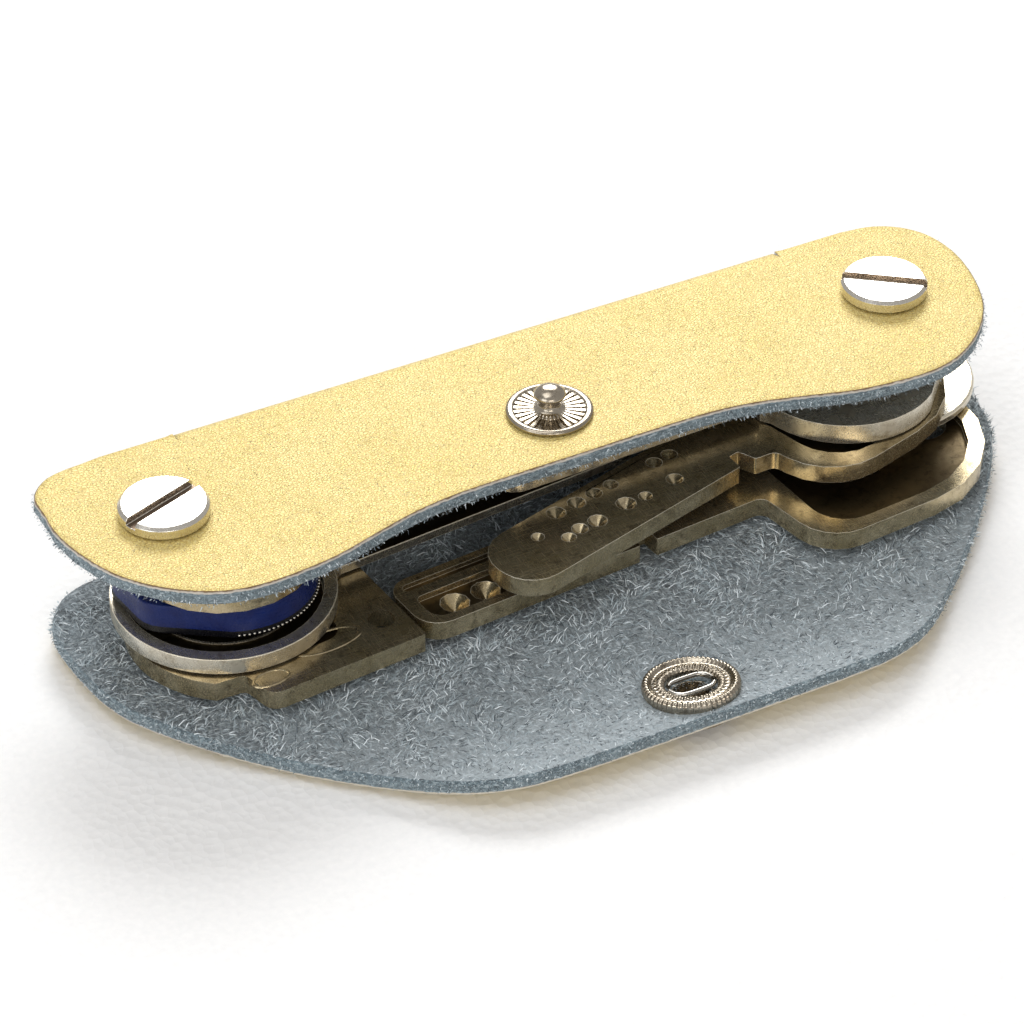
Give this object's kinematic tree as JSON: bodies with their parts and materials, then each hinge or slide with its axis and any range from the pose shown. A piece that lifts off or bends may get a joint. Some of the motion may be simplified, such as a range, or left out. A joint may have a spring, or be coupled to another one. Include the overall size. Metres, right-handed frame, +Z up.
{
  "type": "key organiser",
  "caption": "Folded leather key organiser: two slotted screw posts carry keys that swing out of the wrap, and a tongue-shaped flap with a ring snap closes over them.",
  "frame": {"origin": "centre of the bounding box on the surface that the organiser lies on", "axes": "+X along the line of the two posts, +Y towards the folded spine, +Z up through the posts"},
  "size_m": [0.1084, 0.053, 0.0218],
  "materials": {
    "gold_leather": "metallic gold grain leather, suede inside",
    "suede_leather": "blue-grey suede split, gold outside",
    "nickel": "polished nickel plate",
    "nickel_silver": "satin nickel silver, worn",
    "spring_steel": "bright drawn wire",
    "navy_plastic": "gloss moulded plastic",
    "black_fibre": "matt black fibre"
  },
  "bodies": {
    "wrap": {"leather_wrap": "gold_leather", "barrel_left": "nickel", "barrel_right": "nickel", "spacer_left_lower": "nickel", "spacer_left_upper": "nickel", "thin_washer_right": "nickel", "fibre_washer_right": "black_fibre", "spacer_right_lower": "nickel", "spacer_right_upper": "nickel", "snap_stud": "nickel", "snap_stud_rivet": "nickel"},
    "screw_left": {"screw_left": "nickel"},
    "screw_right": {"screw_right": "nickel"},
    "flap_wall": {"flap_wall": "suede_leather"},
    "flap_tip": {"flap_tip": "suede_leather", "snap_socket": "nickel", "snap_cap": "nickel", "socket_spring_front": "spring_steel", "socket_spring_back": "spring_steel"},
    "key_lower_left": {"key_lower_left": "nickel_silver"},
    "key_dish_left": {"key_dish_left": "nickel_silver"},
    "key_navy_left": {"key_navy_left_head": "navy_plastic", "key_navy_left_blade": "nickel_silver"},
    "key_upper_left": {"key_upper_left": "nickel_silver"},
    "key_lower_right": {"key_lower_right": "nickel_silver"},
    "key_dimple_right": {"key_dimple_right": "nickel_silver"},
    "key_thin_right": {"key_thin_right": "nickel_silver"}
  },
  "joints": [
    {"name": "flap_wall_fold", "type": "hinge", "parent": "wrap", "child": "flap_wall", "pos_m": [0, 0.00145, 0.0046], "axis": [-1, 0, 0], "range_deg": [0, 90], "deforming": ["flap_wall"]},
    {"name": "flap_tip_fold", "type": "hinge", "parent": "flap_wall", "child": "flap_tip", "pos_m": [0, -0.01245, 0.0046], "axis": [-1, 0, 0], "range_deg": [0, 90], "deforming": ["flap_tip", "socket_spring_front", "socket_spring_back"]},
    {"name": "key_lower_left_swing", "type": "hinge", "parent": "wrap", "child": "key_lower_left", "pos_m": [-0.0431, 0.0127, 0], "axis": [0, 0, -1], "range_deg": [0, 170]},
    {"name": "key_dish_left_swing", "type": "hinge", "parent": "wrap", "child": "key_dish_left", "pos_m": [-0.0431, 0.0127, 0], "axis": [0, 0, -1], "range_deg": [0, 170]},
    {"name": "key_navy_left_swing", "type": "hinge", "parent": "wrap", "child": "key_navy_left", "pos_m": [-0.0431, 0.0127, 0], "axis": [0, 0, -1], "range_deg": [0, 170]},
    {"name": "key_upper_left_swing", "type": "hinge", "parent": "wrap", "child": "key_upper_left", "pos_m": [-0.0431, 0.0127, 0], "axis": [0, 0, -1], "range_deg": [0, 170]},
    {"name": "key_lower_right_swing", "type": "hinge", "parent": "wrap", "child": "key_lower_right", "pos_m": [0.0431, 0.0127, 0], "axis": [0, 0, 1], "range_deg": [0, 170]},
    {"name": "key_dimple_right_swing", "type": "hinge", "parent": "wrap", "child": "key_dimple_right", "pos_m": [0.0431, 0.0127, 0], "axis": [0, 0, 1], "range_deg": [0, 170]},
    {"name": "key_thin_right_swing", "type": "hinge", "parent": "wrap", "child": "key_thin_right", "pos_m": [0.0431, 0.0127, 0], "axis": [0, 0, 1], "range_deg": [0, 170]},
    {"name": "screw_left_turn", "type": "hinge", "parent": "wrap", "child": "screw_left", "pos_m": [-0.0431, 0.0127, 0], "axis": [0, 0, 1], "continuous": true},
    {"name": "screw_right_turn", "type": "hinge", "parent": "wrap", "child": "screw_right", "pos_m": [0.0431, 0.0127, 0], "axis": [0, 0, 1], "continuous": true}
  ],
  "couplings": [
    {"joint": "flap_tip_fold", "follows": "flap_wall_fold", "ratio": 1}
  ]
}
